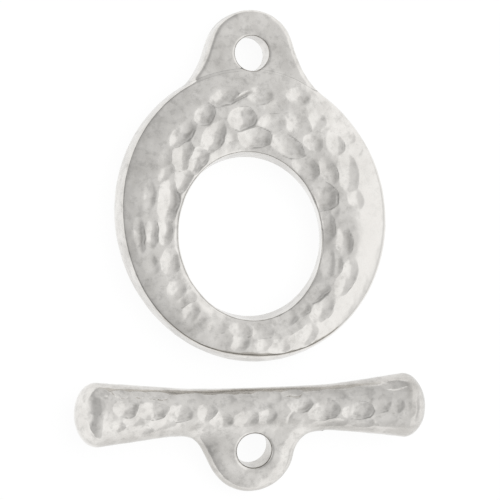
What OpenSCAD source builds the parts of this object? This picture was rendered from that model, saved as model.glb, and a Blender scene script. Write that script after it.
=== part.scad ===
// Toggle clasp: a hammered oval ring, and the bar that is passed through it to close it.
// Each is one casting with a flat eye for a jump ring. Millimetres. Both lie face up on
// a flat surface at z = 0, as laid out for show, with the bar below the ring and +Y
// towards the ring's eye. The origin is on that surface, in the middle of the layout.

/* [Show] */
// Which casting is drawn

/* [Ring] */
// Width of the oval outline across its short way
ring_width = 15.8; // [14.5:0.05:18]
// Length of the oval outline along its long way
ring_length = 16.8; // [15.5:0.1:18]
// How far the outline's long way leans to the left of straight up, in degrees
ring_lean = 13.5; // [0:0.5:20]
// Height of the crest of the ring's face over the surface, on the left
ring_crest = 2.35; // [2.2:0.05:3]
// Height of the face at the edge of the opening, on the left
ring_inner_edge = 2; // [1.8:0.05:2.1]
// Height of the face at its outer edge, on the left
ring_outer_edge = 1.9; // [1.75:0.05:2.1]
// How much lower the whole face lies on the right
ring_fall = 0.4; // [0:0.05:0.5]
// How much further the face's outer edge is worn down on the right
ring_outer_fall = 0.15; // [0:0.05:0.3]
// Width of the sloping band between the face and the outline
ring_bevel = 0.2; // [0.1:0.05:0.4]
// How far the middle of the outline lies to the right of the bar's middle
ring_right = 0.3; // [-1:0.05:1]

/* [Opening] */
// Width of the opening across its short way
opening_width = 8.6; // [7.8:0.1:8.9]
// Length of the opening along its long way
opening_length = 9.25; // [8.4:0.05:9.4]
// How far the opening's long way leans to the left of straight up, in degrees
opening_lean = 9; // [0:1:20]
// How far the opening sits below the middle of the outline
opening_low = 1.15; // [0.8:0.05:1.3]
// How far the opening sits to the left of the middle of the outline
opening_left = 0.18; // [0:0.02:0.3]

/* [Bar] */
// Length over the domed ends
bar_length = 20.4; // [18:0.1:24]
// Largest diameter, near each end
bar_end_d = 3.65; // [3.4:0.05:4]
// Diameter in the middle
bar_middle_d = 2.5; // [2.3:0.05:2.8]
// Depth of the dome on each end
bar_dome = 1.25; // [1:0.05:1.5]
// Where the left half starts to flare, from the bar's middle
bar_flare_left = 3.5; // [2.5:0.1:5]
// Where the right half starts to flare, from the bar's middle
bar_flare_right = 4.6; // [2.5:0.1:5]
// How far the bar bows towards the ring in its middle
bar_bow = 0.03; // [0:0.01:0.2]
// How far the bar's length rises to the right, in degrees
bar_lean = 1.8; // [0:0.1:4]
// Clear distance between the ring's outline and the bar where it lies
bar_gap = 1.6; // [1:0.05:3]

/* [Eyes] */
// Bore of both eyes, for a jump ring
eye_bore = 2; // [1.8:0.05:2.3]
// Thickness of the ring's eye
ring_eye_thick = 1.75; // [1.4:0.05:1.8]
// Radius of the ring eye's round end
ring_eye_radius = 2.55; // [2.3:0.05:2.8]
// Distance from the middle of the ring's outline up to its eye's bore
ring_eye_reach = 9.15; // [9:0.05:10]
// How far the ring's eye sits to the left of the middle of the outline
ring_eye_left = 0.2; // [0:0.02:0.3]
// Thickness of the bar's eye
bar_eye_thick = 1.6; // [1.4:0.05:1.9]
// Radius of the bar eye's round end
bar_eye_radius = 2.5; // [2.2:0.05:2.7]
// Distance from the bar's axis to its eye's bore
bar_eye_reach = 2.2; // [2:0.05:2.8]
// How far the bar's eye sits to the right of its middle
bar_eye_right = 0.06; // [0:0.02:0.3]
// Radius of the hollow between the bar and each side of its eye
bar_eye_fillet = 1.7; // [0.9:0.05:2]

/* [Hammering] */
// Depth of a full hammer mark on the ring
ring_mark_depth = 0.16; // [0:0.02:0.25]
// Depth of a full hammer mark on the bar
bar_mark_depth = 0.12; // [0:0.02:0.16]

/* [Hidden] */
metal = [0.78, 0.77, 0.75];
bore_sides = 64;
// Radius of the soft edge round each eye, and inside the ring's opening
eye_soft = 0.4;
opening_soft = 0.18;
// The ring's outline is widest at this height, and its back edge is rounded by this much
ring_belly = 0.5;
ring_back_soft = 0.25;
// Share of the band's width at which its crest lies, from the opening outwards
crest_share = 0.42;
// Angle round the ring at which its face is most worn
fall_turn = -15;

// Plan angles round the ring and rows across its face
ring_turns = 144;
face_rows = 13;
// Even steps along the bar between its domes, and sides round it
bar_stations = 60;
bar_turns = 26;

// The sides of the ring's eye spread by this angle, straight for this length, and meet
// the outline this far round from straight up. The foot reaches this far into the band.
ring_eye_spread = 17;
ring_eye_straight = 1.5;
ring_eye_foot_turn = 29;
eye_root = 0.8;
// The hollow beside the bar's eye meets the bar at this angle
bar_eye_meets = 10;

// The bar's shoulders, where its domes begin, and how softly its flares start
bar_shoulder = bar_length / 2 - bar_dome;
flare_soft = 1.4;

// The bar lies on both ends and on its eye's tip. This is how far that rolls it: the soft
// lower edge of the tip comes down to the surface.
tip_reach = bar_eye_reach + bar_eye_radius - eye_soft;
tip_drop = bar_eye_thick / 2 - eye_soft;
bar_roll = asin((bar_end_d / 2 - eye_soft) / norm([tip_reach, tip_drop])) - atan2(tip_drop, tip_reach);

// Places of the two castings in the layout, whose middle is at y = 0
ring_down = norm([ring_length / 2 * cos(ring_lean), ring_width / 2 * sin(ring_lean)]);
ring_up = ring_eye_reach + ring_eye_radius;
bar_from_ring = ring_down + bar_gap + bar_middle_d / 2;
bar_down = (tip_reach + eye_soft) * cos(bar_roll) + tip_drop * sin(bar_roll);
ring_y = (bar_from_ring + bar_down - ring_up) / 2;
bar_y = ring_y - bar_from_ring;

// Hammer marks on the ring's face. Angle round the ring and share of the way across its
// band from the opening, half length and half width in millimetres, turn of the length
// in the plan, and depth as a share of ring_mark_depth.
//   angle across  long  wide  turn  deep
RING_MARKS = [
    [  8,   0.10,  1.00, 0.46,   90, 0.9],
    [ 25,   0.15,  0.80, 0.65,  -40, 1.3],
    [ 27,   0.58,  1.15, 0.57,  -85, 1.0],
    [ 35,   0.34,  0.70, 0.40,  -65, 0.8],
    [ 42,   0.62,  0.63, 0.46,  -65, 0.7],
    [ 47,   0.15,  0.77, 0.50,  -25, 1.0],
    [ 64,   0.18,  0.97, 0.50,  -30, 1.0],
    [ 64,   0.48,  0.74, 0.50,  -20, 0.6],
    [ 78,   0.38,  0.74, 0.46,    0, 0.7],
    [ 87,   0.68,  0.68, 0.46,   -8, 0.8],
    [ 88,   0.17,  0.88, 0.50,   -5, 1.1],
    [ 96,   0.40,  0.71, 0.57,    0, 1.1],
    [105,   0.70,  0.77, 0.46,   20, 1.0],
    [115,   0.28,  0.86, 0.50,   60, 1.0],
    [117,   0.58,  0.60, 0.46,   50, 1.0],
    [132,   0.17,  0.68, 0.46,   50, 1.0],
    [132,   0.54,  0.80, 0.46,   48, 1.0],
    [138,   0.34,  0.80, 0.48,   78, 1.0],
    [147,   0.17,  0.74, 0.40,   60, 0.9],
    [163,   0.25,  1.14, 0.48,   86, 1.0],
    [182,   0.25,  0.74, 0.37,   90, 0.9],
    [185,   0.48,  0.74, 0.34,   90, 0.8],
    [200,   0.26,  0.66, 0.50,   80, 0.7],
    [216,   0.40,  0.55, 0.50,   60, 0.8],
    [231,   0.48,  0.55, 0.43,   70, 0.8],
    [261,   0.60,  0.50, 0.46,    0, 0.8],
    [275,   0.27,  0.63, 0.43,    5, 0.7],
    [293,   0.18,  0.74, 0.43,   25, 0.8],
    [295,   0.68,  0.80, 0.50,   25, 0.8],
    [313,   0.42,  0.74, 0.46,   45, 0.9],
    [322,   0.18,  0.66, 0.40,   35, 1.0],
    [334,   0.48,  0.97, 0.50,   62, 0.8],
    [342,   0.15,  0.68, 0.37,   85, 1.0],
    [355,   0.32,  0.80, 0.43,   90, 0.9],
];

// Hammer marks on the bar. Distance along it from the middle as a share of its half
// length, angle round it from straight up towards the ring, half length and half width in
// millimetres, and depth as a share of bar_mark_depth.
//   along  round  long  wide  deep
BAR_MARKS = [
    [-0.92,   23,  0.60, 0.50,  0.9],
    [-0.90,  -21,  0.60, 0.70,  0.9],
    [-0.88,   39,  0.60, 0.50,  1.0],
    [-0.74,   11,  0.65, 0.50,  1.0],
    [-0.66,  -36,  0.75, 0.45,  0.7],
    [-0.59,    5,  0.85, 0.50,  1.0],
    [-0.44,   -2,  0.70, 0.50,  0.9],
    [-0.28,   -1,  0.55, 0.50,  0.8],
    [-0.19,  -23,  0.60, 0.50,  0.9],
    [-0.05,  -25,  0.65, 0.50,  0.8],
    [ 0.07,  -19,  0.60, 0.50,  0.7],
    [ 0.26,   10,  0.65, 0.45,  0.9],
    [ 0.39,   -9,  0.80, 0.50,  1.0],
    [ 0.58,  -11,  0.80, 0.50,  1.0],
    [ 0.72,    2,  0.60, 0.45,  0.7],
    [ 0.88,   -7,  0.60, 0.70,  0.8],
];

// How deep a mark presses at a point that lies u half lengths and v half widths from
// its middle: a shallow bowl with a crisp rim.
function bowl(u, v) = max(0, 1 - u * u - v * v);

// A point of an oval that leans to the left, in the direction a from its middle.
function oval(width, length, lean, a) =
    let (x = width / 2 * cos(a - lean), y = length / 2 * sin(a - lean))
    [x * cos(lean) - y * sin(lean), x * sin(lean) + y * cos(lean)];

function outline_at(a) = oval(ring_width, ring_length, ring_lean, a);
function opening_at(a) =
    [-opening_left, -opening_low] + oval(opening_width, opening_length, opening_lean, a);

// How worn the face is at an angle round the ring, as a share of the wear on the right.
function wear(a) = pow((1 + cos(a - fall_turn)) / 2, 1.5);

// Heights of the face at an angle round the ring: at the opening's edge, at its crest and
// at its outer edge.
function face_heights(a) = [
    ring_inner_edge - ring_fall * wear(a),
    ring_crest - ring_fall * wear(a),
    ring_outer_edge - (ring_fall + ring_outer_fall) * wear(a),
];

// Height of the ring's face at a share of the way across its band.
function face_height(share, heights) =
    let (inwards = share < crest_share)
    let (edge = inwards ? heights[0] : heights[2])
    let (run = (share - crest_share) / (inwards ? crest_share : 1 - crest_share))
    heights[1] - (heights[1] - edge) * run * run;

// The section of the band where it is w wide and its face has these heights: distance
// from the opening and height, from the back edge of the opening up its wall, across the
// face and down the outside.
function ring_section(w, heights) = concat(
    [
        [opening_soft, 0],
        [0, opening_soft],
        [0, heights[0] - opening_soft],
        [0.3 * opening_soft, heights[0] - 0.3 * opening_soft],
    ],
    [
        for (row = [0 : face_rows])
        let (share = row / face_rows)
        [opening_soft + share * (w - opening_soft - ring_bevel), face_height(share, heights)]
    ],
    [
        for (fall = [0.35, 0.7, 1])
        [w - ring_bevel * pow(1 - fall, 1.5), heights[2] + (ring_belly - heights[2]) * fall]
    ],
    [
        for (turn = [30 : 30 : 90])
        [w - ring_back_soft * (1 - cos(turn)), ring_belly * (1 - sin(turn))]
    ]
);

// A mark's middle in the plan, on the line across the band at its angle.
function mark_middle(mark) =
    let (near = opening_at(mark[0]), far = outline_at(mark[0]))
    near + (far - near) * mark[1];

// The deepest of the marks at a point of the plan.
function pressed(point) = ring_mark_depth * max([
    for (mark = RING_MARKS)
    let (away = point - mark_middle(mark), c = cos(mark[4]), s = sin(mark[4]))
    mark[5] * bowl((away[0] * c + away[1] * s) / mark[2], (away[1] * c - away[0] * s) / mark[3])
]);

// One section of the ring in space, with the marks pressed into the rows of its face.
function ring_loop(a) =
    let (near = opening_at(a), far = outline_at(a), w = norm(far - near), out = (far - near) / w)
    let (section = ring_section(w, face_heights(a)))
    [
        for (k = [0 : len(section) - 1])
        let (plan = near + out * section[k][0], on_face = k > 4 && k < 4 + face_rows)
        [plan[0], plan[1], section[k][1] - (on_face ? pressed(plan) : 0)]
    ];

// Skins a list of loops of points, one after the other, with triangles: joined round to
// the first loop if it is a closed ring, and otherwise capped at both ends with strips
// that run from one side of the loop to the other.
module skin(loops, closed) {
    count = len(loops);
    sides = len(loops[0]);
    points = [for (loop = loops) each loop];
    spans = closed ? count : count - 1;
    last = (count - 1) * sides;
    walls = [
        for (i = [0 : spans - 1], k = [0 : sides - 1])
        let (a = i * sides, b = (i + 1) % count * sides, next = (k + 1) % sides)
        each [[a + k, b + k, b + next], [a + k, b + next, a + next]]
    ];
    caps = closed ? [] : [
        for (k = [0 : sides / 2 - 2])
        let (strip = [k, k + 1, sides - 2 - k, sides - 1 - k])
        each [strip, [for (n = [3 : -1 : 0]) last + strip[n]]]
    ];
    polyhedron(points, concat(walls, caps), convexity = 6);
}

// A flat plate with soft edges, from one side of its outline, foot to tip, and the same
// side mirrored.
module plate(side, thick, soft) {
    count = len(side);
    outline = concat(side, [for (k = [count - 1 : -1 : 0]) [-side[k][0], side[k][1]]]);
    inward = [
        for (k = [0 : 2 * count - 1])
        let (run = outline[(k + 1) % (2 * count)] - outline[(k + 2 * count - 1) % (2 * count)])
        [-run[1], run[0]] / norm(run)
    ];
    // Inset and height of each step up the edge, as shares of the softness and thickness
    steps = [[1, 0, 0], [0.3, 0.3, 0], [0, 1, 0], [0, -1, 1], [0.3, -0.3, 1], [1, 0, 1]];
    skin([
        for (step = steps)
        [
            for (k = [0 : 2 * count - 1])
            let (plan = outline[k] + inward[k] * step[0] * soft)
            [plan[0], plan[1], step[1] * soft + step[2] * thick]
        ]
    ], false);
}

// One side of the ring's eye, with its bore at the origin and the ring below: from the
// foot inside the band, out to the ring's outline, and up a spreading side to the tip.
function ring_eye_side() =
    let (foot = outline_at(90 - ring_eye_foot_turn) - [0, ring_eye_reach])
    let (spread = [cos(ring_eye_spread), sin(ring_eye_spread)])
    let (tangent = ring_eye_radius * spread)
    let (bend = tangent + ring_eye_straight * [spread[1], -spread[0]])
    concat(
        [foot - eye_root * [0.4, 1]],
        [for (t = [1 : -0.25 : 0.25]) t * t * foot + 2 * t * (1 - t) * bend + (1 - t) * (1 - t) * tangent],
        round_end(ring_eye_radius, ring_eye_spread, 8)
    );

// One side of the bar's eye, with its bore at the origin and the bar below: from the
// foot inside the bar, round the hollow beside it, and on to the tip. The hollow stops
// a little before it would run along the bar, so it meets it at a clear angle.
function bar_eye_side() =
    let (wall = bar_middle_d / 2, c = bar_eye_fillet)
    let (y = wall + c - bar_eye_reach)
    let (x = sqrt(pow(bar_eye_radius + c, 2) - y * y))
    let (meet = atan2(y, x), start = 270 - bar_eye_meets)
    concat(
        [[0.9 * x, 0.3 * wall - bar_eye_reach]],
        [
            for (k = [0 : 5])
            let (turn = start + k / 5.5 * (180 + meet - start))
            [x, y] + c * [cos(turn), sin(turn)]
        ],
        round_end(bar_eye_radius, meet, 9)
    );

// The arc of an eye's round end from a turn up to the tip, in equal steps that carry on
// across the tip.
function round_end(radius, from, steps) = [
    for (k = [0 : steps])
    let (turn = from + k / (steps + 0.5) * (90 - from))
    radius * [cos(turn), sin(turn)]
];

module ring() {
    color(metal)
        translate([ring_right, ring_y, 0])
            difference() {
                union() {
                    skin([for (i = [0 : ring_turns - 1]) ring_loop(360 * i / ring_turns)], true);
                    translate([-ring_eye_left, ring_eye_reach, 0])
                        plate(ring_eye_side(), ring_eye_thick, eye_soft);
                }
                translate([-ring_eye_left, ring_eye_reach, -1])
                    cylinder(d = eye_bore, h = ring_crest + 2, $fn = bore_sides);
            }
}

// Radius of the bar at a place along it: nearly straight in the middle, then an even
// flare, which starts at its own distance on each side.
function flare(x, start) = norm([x - start, flare_soft]) + x - start;
function bar_radius(x) =
    let (start = x < 0 ? bar_flare_left : bar_flare_right)
    (bar_middle_d + (bar_end_d - bar_middle_d) * flare(abs(x), start) / flare(bar_shoulder, start)) / 2;

// How far the bar's axis lies off a straight line at a place along it.
function bar_aside(x) = bar_bow * (1 - pow(2 * x / bar_length, 2));

// Distance along the bar and radius of each station: the domes at both ends, and even
// steps between.
function bar_profile() =
    let (dome = [for (turn = [84, 72, 60, 45, 30, 15]) [bar_shoulder + bar_dome * sin(turn), cos(turn)]])
    concat(
        [for (d = dome) [-d[0], d[1] * bar_end_d / 2]],
        [
            for (k = [0 : bar_stations])
            let (x = bar_shoulder * (2 * k / bar_stations - 1))
            [x, bar_radius(x)]
        ],
        [for (k = [len(dome) - 1 : -1 : 0]) [dome[k][0], dome[k][1] * bar_end_d / 2]]
    );

// How deep the marks press into the bar at a place along it and a turn round it, where
// its radius is r.
function bar_pressed(x, turn, r) = bar_mark_depth * max([
    for (mark = BAR_MARKS)
    let (along = x - mark[0] * bar_length / 2, round = (turn - mark[1] + 540) % 360 - 180)
    mark[4] * bowl(along / mark[2], round * PI / 180 * r / mark[3])
]);

module bar() {
    loops = [
        for (station = bar_profile())
        [
            for (k = [0 : bar_turns - 1])
            let (turn = 360 - 360 * k / bar_turns)
            let (r = station[1] - bar_pressed(station[0], turn, station[1]))
            [station[0], bar_aside(station[0]) + r * sin(turn), r * cos(turn)]
        ]
    ];
    color(metal)
        translate([0, bar_y, bar_end_d / 2])
            rotate([0, 0, bar_lean])
                difference() {
                    union() {
                        skin(loops, false);
                        rotate([bar_roll, 0, 0])
                            translate([bar_eye_right, -bar_eye_reach, -bar_eye_thick / 2])
                                rotate([0, 0, 180])
                                    plate(bar_eye_side(), bar_eye_thick, eye_soft);
                    }
                    rotate([bar_roll, 0, 0])
                        translate([bar_eye_right, -bar_eye_reach, -bar_eye_thick])
                            cylinder(d = eye_bore, h = 2 * bar_eye_thick, $fn = bore_sides);
                }
}

ring();
bar();
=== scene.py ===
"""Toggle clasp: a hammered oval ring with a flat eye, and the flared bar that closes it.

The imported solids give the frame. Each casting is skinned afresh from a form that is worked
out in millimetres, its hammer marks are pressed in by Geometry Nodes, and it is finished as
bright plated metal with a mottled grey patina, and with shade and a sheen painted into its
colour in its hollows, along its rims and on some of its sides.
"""
from __future__ import annotations

import logging
import math
from abc import ABC, abstractmethod
from dataclasses import dataclass
from enum import Enum
from typing import Callable, NamedTuple

import bpy
import numpy as np
from mathutils import Matrix, Vector

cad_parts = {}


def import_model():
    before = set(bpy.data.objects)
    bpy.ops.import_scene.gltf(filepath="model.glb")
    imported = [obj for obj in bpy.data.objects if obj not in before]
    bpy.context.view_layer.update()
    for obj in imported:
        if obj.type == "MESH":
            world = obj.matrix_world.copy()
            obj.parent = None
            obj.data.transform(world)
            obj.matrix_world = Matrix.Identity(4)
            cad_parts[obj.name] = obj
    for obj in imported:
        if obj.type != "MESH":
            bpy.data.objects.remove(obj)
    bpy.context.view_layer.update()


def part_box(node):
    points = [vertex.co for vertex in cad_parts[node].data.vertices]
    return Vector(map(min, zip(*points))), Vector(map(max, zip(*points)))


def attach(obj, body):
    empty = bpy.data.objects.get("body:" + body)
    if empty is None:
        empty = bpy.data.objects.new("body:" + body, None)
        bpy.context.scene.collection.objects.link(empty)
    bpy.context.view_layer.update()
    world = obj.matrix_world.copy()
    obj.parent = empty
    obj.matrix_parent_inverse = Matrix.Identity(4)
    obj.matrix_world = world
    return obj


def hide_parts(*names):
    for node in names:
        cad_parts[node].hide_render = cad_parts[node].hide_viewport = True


log = logging.getLogger("toggle_clasp")

MM = 0.001
TINY = 1e-9
Measure = Callable[[np.ndarray], np.ndarray]
Colour = tuple[float, float, float]


class Layer(Enum):
    """What each point of a casting carries, by the names of the mesh's layers."""

    RIMS = "rims"
    # Level of painted light: one leaves the patina as it is, less paints a sheen, more paints shade.
    PAINTED_LIGHT = "film"
    PRESS = "press"
    HOLLOW = "hollow"


def bearing(angle: float) -> tuple[float, float]:
    """The cosine and the sine of an angle in degrees."""
    return math.cos(math.radians(angle)), math.sin(math.radians(angle))


def toward(angle: float) -> np.ndarray:
    """A direction in the plan, in degrees from the right."""
    return np.array([*bearing(angle), 0.0])


def cut_soft(a: np.ndarray, b: np.ndarray, radius: float | np.ndarray) -> np.ndarray:
    """Cuts one solid with another and rounds the edge where they meet.

    Args:
        a: Distances to the first solid, negative inside.
        b: Distances to the second solid, negative inside.
        radius: Radius of the rounded edge.

    Returns:
        Distances to what both solids share.
    """
    corner = np.hypot(np.maximum(a + radius, 0), np.maximum(b + radius, 0))
    return np.minimum(np.maximum(a, b), -radius) + corner


def join_soft(a: np.ndarray, b: np.ndarray, radius: float) -> np.ndarray:
    """Joins two solids, given by their distances, with a hollow fillet of a radius."""
    return -cut_soft(-a, -b, radius)


def oval_distance(x: np.ndarray, y: np.ndarray, half_x: float, half_y: float) -> np.ndarray:
    """Measures how far points lie from an upright oval.

    Args:
        x: The points' places along the oval's first half size, from its middle.
        y: Their places along its second half size.
        half_x: The oval's first half size.
        half_y: Its second half size.

    Returns:
        The distances, negative inside.
    """
    u, v = x / half_x, y / half_y
    reach = np.hypot(u, v)
    return reach * (reach - 1) / (np.hypot(u / half_x, v / half_y) + TINY)


@dataclass(frozen=True)
class Oval:
    """An oval in the plan that leans to the left of straight up."""

    width: float
    length: float
    lean: float
    middle: tuple[float, float]

    def distance(self, x: np.ndarray, y: np.ndarray) -> np.ndarray:
        """Measures how far points of the plan lie from the oval.

        Args:
            x: The points' places to the right.
            y: Their places up the plan.

        Returns:
            The distances, negative inside.
        """
        c, s = bearing(self.lean)
        dx, dy = x - self.middle[0], y - self.middle[1]
        return oval_distance(dx * c + dy * s, dy * c - dx * s, self.width / 2, self.length / 2)

    def point(self, angle: float) -> np.ndarray:
        """Finds a point of the oval.

        Args:
            angle: Its direction from the oval's middle, in degrees.

        Returns:
            The point, in the plan.
        """
        turn = math.radians(angle) - math.radians(self.lean)
        x, y = self.width / 2 * math.cos(turn), self.length / 2 * math.sin(turn)
        c, s = bearing(self.lean)
        return np.array([self.middle[0] + x * c - y * s, self.middle[1] + x * s + y * c])


def rim_between(a: np.ndarray, b: np.ndarray, reach: float = 0.3) -> np.ndarray:
    """Tells how far points lie from the rim where two faces meet, and on which side of it.

    Args:
        a: Distances to the first face.
        b: Distances to the second face.
        reach: Distance from the rim beyond which points count as far off.

    Returns:
        One signed distance for each point.
    """
    apart = a - b
    far = np.maximum(np.abs(a), np.abs(b)) > reach
    return apart + np.where(far, np.where(apart < 0, -1, 1), 0)


def carry(mesh: bpy.types.Mesh, name: str, values: np.ndarray) -> None:
    """Stores a number or a vector on each point of a mesh.

    Args:
        mesh: The mesh.
        name: Name of the layer that holds them.
        values: One number, or one row of three, for each point.
    """
    kind, part = ("FLOAT", "value") if values.ndim == 1 else ("FLOAT_VECTOR", "vector")
    layer = mesh.attributes.new(name, kind, "POINT")
    layer.data.foreach_set(part, values.astype(np.float32).ravel())


def placed(name: str, data: bpy.types.ID) -> bpy.types.Object:
    """Makes an object at the origin.

    Args:
        name: Name of the object.
        data: Its mesh, light or camera.

    Returns:
        The object, in the scene.
    """
    made = bpy.data.objects.new(name, data)
    bpy.context.scene.collection.objects.link(made)
    return made


@dataclass(frozen=True)
class Skin:
    """A closed surface of four-sided faces, in millimetres, and what its finish has to know.

    The notes hold four numbers for each point: how far it lies from each of three kinds of
    rim, for painted lines of shade, and a level of painted light, where one is usual: less
    paints a sheen over the patina, more paints shade.
    """

    points: np.ndarray
    faces: np.ndarray
    notes: np.ndarray

    def mesh(self, name: str) -> bpy.types.Mesh:
        """Makes the surface a mesh.

        Args:
            name: Name of the mesh.

        Returns:
            The mesh, in metres.
        """
        mesh = bpy.data.meshes.new(name)
        mesh.from_pydata((self.points * MM).tolist(), [], self.faces.tolist())
        carry(mesh, Layer.RIMS.value, self.notes[:, :3] * MM)
        carry(mesh, Layer.PAINTED_LIGHT.value, self.notes[:, 3])
        mesh.shade_smooth()
        return mesh


def skin_of(form: Measure, notes: Measure, low: np.ndarray, high: np.ndarray, cell: np.ndarray) -> Skin:
    """Skins a form with one point in each cell that its surface passes through.

    Args:
        form: Gives the distance of each point to the form, negative inside.
        notes: Gives what the finish has to know of each point.
        low: Lowest corner of the space that holds the form.
        high: Highest corner of that space.
        cell: Size of a cell.

    Returns:
        The skin, its points moved onto the form's surface.
    """
    axes = [np.arange(low[k] - cell[k], high[k] + 2 * cell[k], cell[k]) for k in range(3)]
    grid = np.stack(np.meshgrid(*axes, indexing="ij"), -1)
    value = form(grid.reshape(-1, 3)).reshape(grid.shape[:3])
    inside = value < 0
    cells = tuple(n - 1 for n in value.shape)
    total = np.zeros(cells + (3,))
    count = np.zeros(cells)
    walls = []
    for axis in range(3):
        ahead = [slice(None)] * 3
        behind = [slice(None)] * 3
        ahead[axis], behind[axis] = slice(1, None), slice(None, -1)
        a, b = value[tuple(behind)], value[tuple(ahead)]
        crossed = (a < 0) != (b < 0)
        share = np.where(crossed, a / np.where(crossed, a - b, 1), 0)[..., None]
        place = grid[tuple(behind)] * (1 - share) + grid[tuple(ahead)] * share
        side, rise = [k for k in range(3) if k != axis]
        for i in (0, 1):
            for j in (0, 1):
                part = [slice(None)] * 3
                part[side] = slice(i, cells[side] + i)
                part[rise] = slice(j, cells[rise] + j)
                hit = crossed[tuple(part)]
                total += place[tuple(part)] * hit[..., None]
                count += hit
        walls.append((axis, side, rise, crossed, inside[tuple(behind)]))
    used = count > 0
    number = np.full(cells, -1)
    number[used] = np.arange(used.sum())
    points = total[used] / count[used][:, None]
    faces = []
    for axis, side, rise, crossed, filled in walls:
        at = np.argwhere(crossed)
        corners = []
        for i, j in ((1, 1), (0, 1), (0, 0), (1, 0)):
            near = at.copy()
            near[:, side] -= i
            near[:, rise] -= j
            corners.append(number[tuple(near.T)])
        quads = np.stack(corners, 1)
        flip = filled[tuple(at.T)] == (axis == 1)
        quads[flip] = quads[flip][:, ::-1]
        faces.append(quads)
    points = settle(form, points, rounds=3)
    return Skin(points, np.concatenate(faces), notes(points))


def slope_of(form: Measure, points: np.ndarray, step: float = 0.01) -> np.ndarray:
    """Finds the direction and rate at which a form's distance grows.

    Args:
        form: Gives the distance of each point to the form.
        points: Points in millimetres.
        step: Distance over which the growth is measured.

    Returns:
        One vector for each point.
    """
    parts = []
    for shift in np.eye(3) * step:
        parts.append((form(points + shift) - form(points - shift)) / (2 * step))
    return np.stack(parts, 1)


def settle(form: Measure, points: np.ndarray, rounds: int) -> np.ndarray:
    """Moves points onto a form's surface.

    Args:
        form: Gives the distance of each point to the form.
        points: Points near the surface.
        rounds: How many times they are moved.

    Returns:
        The moved points.
    """
    farthest, least_rate = 0.06, 0.2
    for _ in range(rounds):
        slope = slope_of(form, points)
        rate = np.maximum((slope ** 2).sum(1), least_rate)
        points = points - slope * (np.clip(form(points), -farthest, farthest) / rate)[:, None]
    return points


class Strike(NamedTuple):
    """A hammer mark as charted.

    On the ring it lies at an angle and at a share across the band, and on the bar at a share
    along it and at an angle round it. Then come its half sizes, its turn and its depth share.
    """

    where: float
    across: float
    long: float
    wide: float
    turn: float
    deep: float


@dataclass(frozen=True)
class Mark:
    """A hammer mark as pressed: its place, its directions, its half sizes and its depth."""

    middle: np.ndarray
    facing: np.ndarray
    along: np.ndarray
    across: np.ndarray
    long: float
    wide: float
    deep: float

    def driven(self, blow: np.ndarray) -> np.ndarray:
        """Turns the way of the blow into the way in which the mark gets deeper.

        Args:
            blow: Direction in which the blow drives the metal.

        Returns:
            That way, scaled so that it measures one at the mark's rim.
        """
        far, aside = np.dot(blow, self.along) / self.long, np.dot(blow, self.across) / self.wide
        way = self.along * far / self.long + self.across * aside / self.wide
        return way / math.hypot(far, aside)


@dataclass(frozen=True)
class Hammer:
    """How a hammer meets metal.

    A round mark is as deep as a share of its half size, and a long mark's depth grows with a
    power of its length over its width. Every mark is larger than charted by the same factor.
    """

    steep: float
    reach: float = 1.2
    long_power: float = 0.25

    def mark_on(self, form: Measure, near: np.ndarray, heading: np.ndarray, strike: Strike) -> Mark:
        """Lays a mark on a form.

        Args:
            form: The form that is struck.
            near: A point close to its surface.
            heading: Rough direction of the mark's length.
            strike: The mark as charted.

        Returns:
            The mark, on the surface and square to it.
        """
        middle = settle(form, near[None, :], rounds=8)
        facing = slope_of(form, middle, step=0.2)[0]
        facing /= np.linalg.norm(facing)
        along = heading - facing * np.dot(heading, facing)
        along /= np.linalg.norm(along)
        long, wide = strike.long * self.reach, strike.wide * self.reach
        deep = strike.deep * self.steep * wide * (long / wide) ** self.long_power
        return Mark(middle[0], facing, along, np.cross(facing, along), long, wide, deep)


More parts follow.
